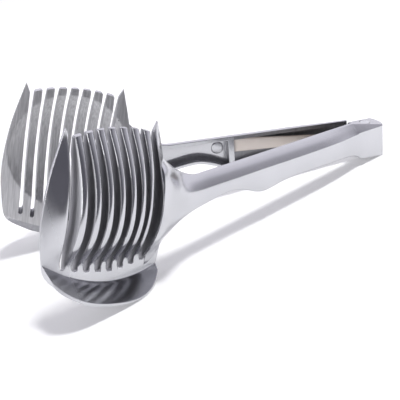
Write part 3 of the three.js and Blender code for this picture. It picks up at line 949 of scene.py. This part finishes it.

# %% [markdown]
# A polishing wheel reaches the outside of a casting, but not its slots and pockets, and the inside
# is only brushed. The walls of slots and pockets and the bevel behind the toe take the dark finish,
# which also paints the shade that falls in them. The three finishes could be parted by painting;
# here each face is marked by its place and by the way that it faces, which is exact along every
# edge. The faces are then shaded smooth up to a crease.

# %% Marks for the finishes
SKIN_AND_SHADE_MARK, INSIDE_MARK = 1, 2
FACES_IN, FACES_SIDEWAYS, FACES_ALONG, FACES_OUT, SLANTS = 0.6, 0.8, 0.7, -0.1, 0.3
NEAR, POCKET_SLACK, HEAD_SLACK = 0.2, 1, 8
CASTING_SEAM, CASTING_CREASE = 0.01, math.radians(30)


def in_pocket(u, v, w, normal, inward):
    """Whether a face is a wall round a pocket of the handle, or the floor of the pocket by the hinge;
    these take the dark finish of painted shade.
    """
    if not POCKET_START - POCKET_SLACK < u < POCKET_END + POCKET_SLACK:
        return False
    low, floor = value_at(lower_edge, u), pocket_floor(u)
    if inward * normal.y < FACES_OUT or not MEETING < v < floor + NEAR:
        return False
    if not low + BOTTOM_WALL / 2 < w < HANDLE_TOP - TOP_WALL / 2:
        return False
    middle = (low + HANDLE_TOP) / 2
    lower_wall = normal.z > SLANTS and w < middle
    upper_wall = normal.z < -SLANTS and w > middle
    wall = lower_wall or upper_wall or abs(normal.x) > FACES_ALONG
    return u < RIB_U or wall and v < floor - NEAR


def mark_finishes(obj, inward):
    """Mark the walls of slots and pockets and the bevel of the toe for the dark finish of painted shade,
    then the inside of the head.
    """
    to_head = HEAD_PLACE.inverted()
    turn = to_head.to_3x3()
    for face in obj.data.polygons:
        s, t = (to_head @ face.center).xz
        sideways = abs((turn @ face.normal).x)
        x, y, w = face.center
        facing_in = inward * face.normal.y > FACES_IN and abs(s) < HALF_WIDTH + HEAD_SLACK
        in_slot = sideways > FACES_SIDEWAYS and abs(s) < PLATE_FACE + NEAR and t > SLOT_FLOOR
        in_bevel = facing_in and face.normal.z < -SLANTS and t < SLOT_FLOOR
        # These faces take the dark finish: painted shade, with the dull skin of the slot walls.
        if in_slot or in_bevel or in_pocket(-x, -inward * y, w, face.normal, inward):
            face.material_index = SKIN_AND_SHADE_MARK
        elif facing_in:
            face.material_index = INSIDE_MARK


for casting, inward in ((front, 1), (rear, -1)):
    edit(casting, lambda: bpy.ops.mesh.remove_doubles(threshold=CASTING_SEAM))
    mark_finishes(casting, inward)
    pick(casting)
    bpy.ops.object.shade_smooth_by_angle(angle=CASTING_CREASE)
    print(casting.name, len(casting.data.polygons), "faces")

# %% [markdown]
# The front arm's foot was ground flat where the tool stands. A flat foot could be drawn in, but its
# slant depends on how the tool stands, so each mesh, once home, is bisected by the table instead.
# Each casting takes the place of its solid and moves with that solid's body.

# %% Castings in place
TABLE_HEIGHT = 0.00002

for casting, angle, body, node in (
    (front, OPEN_HALF_ANGLE, "front_arm_body", "front_arm"),
    (rear, -OPEN_HALF_ANGLE, "rear_arm_body", "rear_arm"),
):
    casting.data.transform(TOOL @ Matrix.Rotation(angle, 4, "Z"))
    edit(casting, lambda: bpy.ops.mesh.bisect(
        plane_co=(0, 0, TABLE_HEIGHT), plane_no=(0, 0, 1), clear_inner=True, use_fill=True
    ))
    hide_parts(node)
    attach(casting, body)
    print(casting.name, "rides on", body)

# %% [markdown]
# The pin is a turned dowel with a low head. The head could be inset and extruded from the top, but
# two posts joined end to end show both radii plainly. A bevel breaks the edges, which would be sharp
# from the lathe.

# %% Hinge pin
PIN_FOOT, PIN_SIDES, PIN_EDGE = -5.4, 64, 0.25
BREAK_ANGLE, BREAK_CREASE = math.radians(45), math.radians(40)


def break_edges(obj, width, segments):
    edit(obj, lambda: bpy.ops.mesh.remove_doubles(threshold=CASTING_SEAM))
    apply(
        obj,
        "BEVEL",
        width=width,
        segments=segments,
        limit_method="ANGLE",
        angle_limit=BREAK_ANGLE,
        use_clamp_overlap=False,
    )
    pick(obj)
    bpy.ops.object.shade_smooth_by_angle(angle=BREAK_CREASE)


def make_pin():
    pin = post(PIN_RADIUS, PIN_FOOT, BLOCK_TOP - PIN_HEAD, PIN_SIDES)
    pin.name = "pin_turned"
    pin_head = post(PIN_HEAD_RADIUS, BLOCK_TOP - PIN_HEAD, BLOCK_TOP, PIN_SIDES)
    combine(pin, pin_head, "UNION")
    break_edges(pin, PIN_EDGE, 3)
    pin.data.transform(TOOL)
    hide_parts("hinge_pin")
    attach(pin, "front_arm_body")
    return pin


pin = make_pin()
print("pin:", len(pin.data.polygons), "faces")

# %% [markdown]
# The spring is one strip bent into a V, and narrower at the bend. A curve with a flat profile could
# draw it, but a grid laid along leg, bend and leg gives every point a place on the strip; a solidify
# modifier adds the thickness. Its legs rest in different arms.

# %% Path of the spring
SPRING_THICK, BEND_RADIUS, BEND_X = 0.8, 3, -13.6
BEND_PARTS, LEG_PARTS = 32, 20


def spring_path():
    """Middle line of the strip: far leg, round bend and near leg."""
    end_u = RIB_U - RIB / 2 - 4 * CLEARANCE
    end_v = pocket_floor(end_u) - CLEARANCE - SPRING_THICK / 2
    end = Matrix.Rotation(-OPEN_HALF_ANGLE, 2) @ Vector((-end_u, end_v))
    bend = Vector((BEND_X, 0))
    run = end - bend
    lean = math.atan2(run.y, run.x) - math.acos(BEND_RADIUS / run.length)
    angles = [between(lean, -lean, i / BEND_PARTS) for i in range(BEND_PARTS + 1)]
    round_bend = [bend + BEND_RADIUS * Vector((math.cos(a), math.sin(a))) for a in angles]
    far_leg = [end.lerp(round_bend[0], i / LEG_PARTS) for i in range(LEG_PARTS)]
    near_leg = [Vector((p.x, -p.y)) for p in reversed(far_leg)]
    return far_leg + round_bend + near_leg


PATH = spring_path()
print("strip laid flat:", round(sum((b - a).length for a, b in zip(PATH, PATH[1:])), 1), "mm")

# %% Leaf spring
SPRING_WIDTH, SPRING_W, SPRING_FALL, SPRING_EDGE, STRIP_PARTS = 8, 6.2, 3.5, 0.15, 6


def strip_row(share):
    """Points along the strip at a share of its width, from its lower edge."""
    row = []
    for point in PATH:
        towards_bend = min((point.x - PATH[0].x) / (BEND_X - PATH[0].x), 1)
        width = SPRING_WIDTH - SPRING_FALL * towards_bend
        row.append((*point, SPRING_W - SPRING_WIDTH / 2 + width * share))
    return row


def make_spring():
    rows = [strip_row(i / STRIP_PARTS) for i in range(STRIP_PARTS + 1)]
    strip = grid_through("spring_strip", rows)
    apply(strip, "SOLIDIFY", thickness=SPRING_THICK, offset=0, use_even_offset=True)
    outward(strip)
    break_edges(strip, SPRING_EDGE, 2)
    strip.data.transform(TOOL)
    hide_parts("leaf_spring")
    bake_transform(strip)
    return strip


spring = make_spring()
print("spring:", len(spring.data.polygons), "faces")

# %% [markdown]
# Finishes are built from shader nodes. They could be wired by hand, one link at a time. A small class
# wraps one output of a node instead, so that a sum such as 1 - mask writes the Math nodes by itself;
# any other node comes from one method that takes its kind, its settings and what goes into its sockets.

# %% Sums of nodes


class Wire:
    """One output of a shader node, ready to be used in a sum."""

    def __init__(self, nodes, socket):
        self.nodes, self.socket = nodes, socket

    def sum(self, operation, first, second):
        return self.nodes.add("ShaderNodeMath", {"operation": operation}, {0: first, 1: second})

    def __add__(self, other):
        return self.sum("ADD", self, other)

    def __sub__(self, other):
        return self.sum("SUBTRACT", self, other)

    def __rsub__(self, other):
        return self.sum("SUBTRACT", other, self)

    def __mul__(self, other):
        return self.sum("MULTIPLY", self, other)

    __radd__, __rmul__ = __add__, __mul__


# %% Node trees


class Nodes:
    """The node tree of a material or a world."""

    def __init__(self, owner):
        owner.use_nodes = True
        self.tree = owner.node_tree

    def plug(self, socket, value):
        if isinstance(value, Wire):
            self.tree.links.new(value.socket, socket)
        else:
            socket.default_value = value

    def add(self, kind, settings, sockets, output=0):
        node = self.tree.nodes.new(kind)
        stops = settings.pop("stops", [])
        for name, value in settings.items():
            setattr(node, name, value)
        for _ in stops[2:]:
            node.color_ramp.elements.new(1)
        for index, (position, color) in enumerate(stops):
            element = node.color_ramp.elements[index]
            element.position, element.color = position, (*color, 1)
        for name, value in sockets.items():
            self.plug(node.inputs[name], value)
        return Wire(self, node.outputs[output])

    def set(self, name, sockets):
        for socket, value in sockets.items():
            self.plug(self.tree.nodes[name].inputs[socket], value)

    def where(self):
        return self.add("ShaderNodeTexCoord", {}, {}, "Object")

    def mix(self, factor, low, high):
        """Colour between two; a colour mix has its factor, colours and result at these places."""
        sockets = {0: factor, 6: (*low, 1), 7: (*high, 1)}
        return self.add("ShaderNodeMix", {"data_type": "RGBA"}, sockets, 2)

    def share(self, value, low, high):
        """0 where the value is low, 1 where it is high."""
        return self.add("ShaderNodeMapRange", {}, {"Value": value, "From Min": low, "From Max": high})

    def noise(self, scale, detail, roughness=0.5, lean=0):
        """Noise with so many steps to a metre along each axis, leant about y where asked."""
        size = [1 / steps for steps in scale]
        sockets = {"Vector": self.where(), "Rotation": (0, lean, 0), "Scale": size}
        leant = self.add("ShaderNodeMapping", {"vector_type": "TEXTURE"}, sockets)
        sockets = {"Vector": leant, "Scale": 1, "Detail": detail, "Roughness": roughness}
        return self.add("ShaderNodeTexNoise", {}, sockets)

    def metal(self, color, roughness, normal):
        self.set("Principled BSDF", {
            "Base Color": color,
            "Metallic": 1.0,
            "Roughness": roughness,
            "Normal": normal,
        })


# %% Finishes on pieces


def new_finish(name):
    finish = bpy.data.materials.new(name)
    return finish, Nodes(finish)


def dress(obj, *finishes):
    marks = [face.material_index for face in obj.data.polygons]
    obj.data.materials.clear()
    for finish in finishes:
        obj.data.materials.append(finish)
    for face, mark in zip(obj.data.polygons, marks):
        face.material_index = min(mark, len(finishes) - 1)


# %% [markdown]
# The castings are a light alloy, ground and then buffed on a cloth wheel. Up close the buffing leaves
# fine lines, along the tines on the heads and along the handles behind them, and the shine is a
# little uneven: satin on the outer plates, softer on the handles, and nearly a mirror on the toes,
# which show the tines above them. One even gloss would look like plastic chrome, so noise stretched
# along the strokes drives both roughness and relief, and a bevel node softens the edges.

# %% Buffed casting
ALLOY_DULL, ALLOY_BRIGHT = (0.55, 0.555, 0.575), (0.65, 0.655, 0.675)
TINE_LEAN = HEAD_TILT + PITCH
HEAD_END_X, HANDLE_START_X = -0.045, -0.03
PLATE_START_X, PLATE_FULL_X = -0.084, -0.092
TOE_START_Z, TOE_FULL_Z = 0.016, 0.013
HANDLE_SATIN, PLATE_SATIN, TOE_SATIN = 0.07, 0.16, 0.05
EDGE_SOFT = 0.0005


def buffed_casting():
    finish, nodes = new_finish("buffed_casting")
    cloud = nodes.noise((70, 70, 70), 3)
    head_lines = nodes.noise((1600, 1600, 60), 2, lean=TINE_LEAN)
    handle_lines = nodes.noise((60, 1600, 1600), 2, lean=PITCH)
    along = nodes.add("ShaderNodeSeparateXYZ", {}, {"Vector": nodes.where()}, "X")
    height = nodes.add("ShaderNodeSeparateXYZ", {}, {"Vector": nodes.where()}, "Z")
    on_handle = nodes.share(along, HEAD_END_X, HANDLE_START_X)
    on_plate = nodes.share(along, PLATE_START_X, PLATE_FULL_X)
    on_toe = nodes.share(height, TOE_START_Z, TOE_FULL_Z)
    lines = head_lines * (1 - on_handle) + handle_lines * on_handle
    satin = HANDLE_SATIN * on_handle + PLATE_SATIN * on_plate * (1 - on_toe) + TOE_SATIN * on_toe
    soft = nodes.add("ShaderNodeBevel", {"samples": 6}, {"Radius": EDGE_SOFT})
    relief = nodes.add(
        "ShaderNodeBump", {}, {"Strength": 0.06, "Distance": 0.0002, "Height": lines, "Normal": soft}
    )
    roughness = 0.09 + 0.07 * cloud + 0.08 * lines * (1 - on_toe) + satin
    nodes.metal(nodes.mix(cloud, ALLOY_DULL, ALLOY_BRIGHT), roughness, relief)
    return finish


casting_finish = buffed_casting()
print("buffed:", len(casting_finish.node_tree.nodes), "nodes")

# %% [markdown]
# A buffing wheel can't get into the slots, so their walls keep the dull skin of the cut with
# lines along the tines. Their dark colour is also painted shade: the shade deep in the slots, in the
# pockets and on the bevel behind the toe. Between them the bright edges of the tines stand out. A
# darker colour alone would look painted, so the same lines also roughen the wall and lift it a little.

# %% Sawn slot walls with painted shade
# The dark level of these colours is painted shade, with the dull skin of the slots.
SKIN_AND_SHADE_DARK, SKIN_AND_SHADE_PALE = (0.24, 0.24, 0.26), (0.46, 0.46, 0.48)


def sawn_wall_and_shade():
    finish, nodes = new_finish("sawn_wall_and_shade")
    lines = nodes.noise((900, 900, 50), 3, 0.6, TINE_LEAN)
    relief = nodes.add("ShaderNodeBump", {}, {"Strength": 0.25, "Distance": 0.0001, "Height": lines})
    nodes.metal(nodes.mix(lines, SKIN_AND_SHADE_DARK, SKIN_AND_SHADE_PALE), 0.36 + 0.12 * lines, relief)
    return finish


skin_and_shade_finish = sawn_wall_and_shade()
print("sawn:", len(skin_and_shade_finish.node_tree.nodes), "nodes")

# %% [markdown]
# The insides, which touch the fruit, were only brushed up and down. An anisotropic shader could
# spread the shine along the strokes; strokes drawn into colour, roughness and relief show from every
# side and also survive a bake. So the bowls look grey and soft beside the bright outsides.

# %% Brushed inside
INSIDE_DARK, INSIDE_PALE = (0.36, 0.36, 0.37), (0.6, 0.6, 0.61)
STROKE_LOW, STROKE_HIGH = 0.35, 0.65


def brushed_inside():
    finish, nodes = new_finish("brushed_inside")
    lines = nodes.noise((1300, 1300, 45), 3, 0.6, TINE_LEAN)
    cloud = nodes.noise((60, 60, 60), 2)
    strokes = nodes.share(lines, STROKE_LOW, STROKE_HIGH)
    relief = nodes.add("ShaderNodeBump", {}, {"Strength": 0.2, "Distance": 0.0001, "Height": lines})
    color = nodes.mix(strokes * 0.7 + cloud * 0.3, INSIDE_DARK, INSIDE_PALE)
    nodes.metal(color, 0.32 + 0.12 * lines, relief)
    return finish


inside_finish = brushed_inside()
for casting in (front, rear):
    dress(casting, casting_finish, skin_and_shade_finish, inside_finish)
print("brushed:", len(inside_finish.node_tree.nodes), "nodes")

# %% [markdown]
# The pin is turned steel, so its head carries fine rings about the axis. They could be modelled as
# grooves, but they are finer than a hair: a sine of the distance to the axis lifts the surface enough.

# %% Turned pin
STEEL_DULL, STEEL_BRIGHT = (0.68, 0.69, 0.7), (0.78, 0.79, 0.8)
RING_PITCH = 0.00018


def turned_steel():
    finish, nodes = new_finish("turned_steel")
    middle = TOOL @ Vector((0, 0, BLOCK_TOP))
    to_axis = nodes.add("ShaderNodeVectorMath", {"operation": "SUBTRACT"}, {0: nodes.where(), 1: middle})
    radius = nodes.add("ShaderNodeVectorMath", {"operation": "LENGTH"}, {0: to_axis}, "Value")
    rings = nodes.add("ShaderNodeMath", {"operation": "SINE"}, {0: radius * (2 * math.pi / RING_PITCH)})
    cloud = nodes.noise((500, 500, 500), 2)
    relief = nodes.add("ShaderNodeBump", {}, {"Strength": 0.15, "Distance": 0.00005, "Height": rings})
    nodes.metal(nodes.mix(cloud, STEEL_DULL, STEEL_BRIGHT), 0.2 + 0.1 * cloud, relief)
    return finish


pin_finish = turned_steel()
dress(pin, pin_finish)
print("turned:", len(pin_finish.node_tree.nodes), "nodes")

# %% [markdown]
# The spring was cut from brushed strip. Its brush lines run along the legs, and heat from hardening
# has left the steel a warm beige, a little stronger in places. One warm colour would look like paint,
# so the lines and a slow noise together move it between two.

# %% Brushed strip
STRIP_PALE, STRIP_WARM = (0.86, 0.8, 0.75), (0.74, 0.66, 0.59)


def brushed_strip():
    finish, nodes = new_finish("brushed_strip")
    lines = nodes.noise((40, 300, 4200), 3, 0.6, PITCH)
    heat = nodes.noise((45, 45, 120), 2)
    relief = nodes.add("ShaderNodeBump", {}, {"Strength": 0.2, "Distance": 0.0001, "Height": lines})
    color = nodes.mix(heat * 0.6 + lines * 0.4, STRIP_PALE, STRIP_WARM)
    nodes.metal(color, 0.32 + 0.14 * lines, relief)
    return finish


strip_finish = brushed_strip()
dress(spring, strip_finish)
print("brushed:", len(strip_finish.node_tree.nodes), "nodes")

# %% [markdown]
# The tool stands on a white sheet whose colour is painted grey some way off, a painted shade of the
# floor far from the lamp, which gives the metal a dark edge to mirror. A pale floor alone would go
# grey away from the lamp, and more light would burn out the metal, so the sheet also glows a little
# for rays that see it straight, in a mirror or through glass; the shadow still falls on it.

# %% Floor
FLOOR_GLOW = 0.18
SHEET_CENTRE, SHEET_START, SHEET_END = Vector((0.08, 0.2, 0)), 0.5, 0.8
# The grey far off is painted shade, where the floor would fall dim away from the lamp.
SHEET_WHITE, SHEET_PAINTED_SHADE = (0.95, 0.95, 0.95), (0.2, 0.2, 0.21)
SEEN_BY = ("Is Camera Ray", "Is Glossy Ray", "Is Transmission Ray")

floor = new_primitive(bpy.ops.mesh.primitive_plane_add, "floor", size=20)
sheet_finish, sheet = new_finish("white_sheet")
seen = sum((sheet.add("ShaderNodeLightPath", {}, {}, ray) for ray in SEEN_BY), 0)
distance = sheet.add(
    "ShaderNodeVectorMath", {"operation": "DISTANCE"}, {0: sheet.where(), 1: SHEET_CENTRE}, "Value"
)
near = sheet.share(distance, SHEET_END, SHEET_START)
sheet.set("Principled BSDF", {
    "Base Color": sheet.mix(near, SHEET_PAINTED_SHADE, SHEET_WHITE),
    "Roughness": 0.9,
    "Specular IOR Level": 0.1,
    "Emission Color": sheet.mix(seen * near, (0, 0, 0), (1, 1, 1)),
    "Emission Strength": FLOOR_GLOW,
})
dress(floor, sheet_finish)
print("floor glow:", FLOOR_GLOW)

# %% [markdown]
# Polished metal is only as good as what it mirrors. A picture of a room could surround it; a plain
# ramp does the same here. The room is bright behind the tool and dark towards the camera, so the
# faces turned to the viewer go dark and every round edge gets a light line.

# %% Room
DARK_SIDE = Vector((-0.45, -0.8, 0.4)).normalized()
ROOM = (
    (0.0, 1.0),
    (0.36, 1.0),
    (0.45, 0.78),
    (0.55, 0.52),
    (0.66, 0.42),
    (0.75, 0.34),
    (0.82, 0.22),
    (0.9, 0.15),
    (1.0, 0.13),
)


def cool_grey(level):
    return (level, level * 0.98, level * 1.06 + 0.015)


world = bpy.data.worlds.new("studio")
room = Nodes(world)
outward_ray = room.add("ShaderNodeTexCoord", {}, {}, "Generated")
facing = room.add(
    "ShaderNodeVectorMath", {"operation": "DOT_PRODUCT"}, {0: outward_ray, 1: DARK_SIDE}, "Value"
)
shades = [(position, cool_grey(level)) for position, level in ROOM]
room.set("Background", {
    "Color": room.add("ShaderNodeValToRGB", {"stops": shades}, {"Fac": facing * 0.5 + 0.5}),
})
scene.world = world
print("room:", len(ROOM), "levels")

# %% [markdown]
# Two lamps finish the studio. One lamp for everything would also glint on each tine, so the work is
# shared: a small lamp overhead throws crisp shadows to the left and lights only the floor, and a wide
# panel on the left shows only in the metal.

# %% Lamps
KEY_PLACE, KEY_SIZE, KEY_POWER = Vector((0.22, -0.14, 1.0)), 0.15, 6.5
LEFT_PLACE, LEFT_WIDTH, LEFT_HEIGHT, LEFT_POWER = Vector((-0.9, -0.05, 0.45)), 1.1, 0.9, 6.0


def soft_lamp(name, place, width, height, power, on_floor):
    lamp = bpy.data.lights.new(name, "AREA")
    lamp.shape = "RECTANGLE"
    lamp.size, lamp.size_y, lamp.energy = width, height, power
    obj = bpy.data.objects.new(name, lamp)
    obj.location = place
    obj.rotation_euler = place.to_track_quat("Z", "Y").to_euler()
    obj.visible_camera, obj.visible_diffuse, obj.visible_glossy = False, on_floor, not on_floor
    scene.collection.objects.link(obj)
    print(name, "lamp:", [round(c, 2) for c in place], power, "W")


soft_lamp("key", KEY_PLACE, KEY_SIZE, KEY_SIZE, KEY_POWER, True)
soft_lamp("left", LEFT_PLACE, LEFT_WIDTH, LEFT_HEIGHT, LEFT_POWER, False)
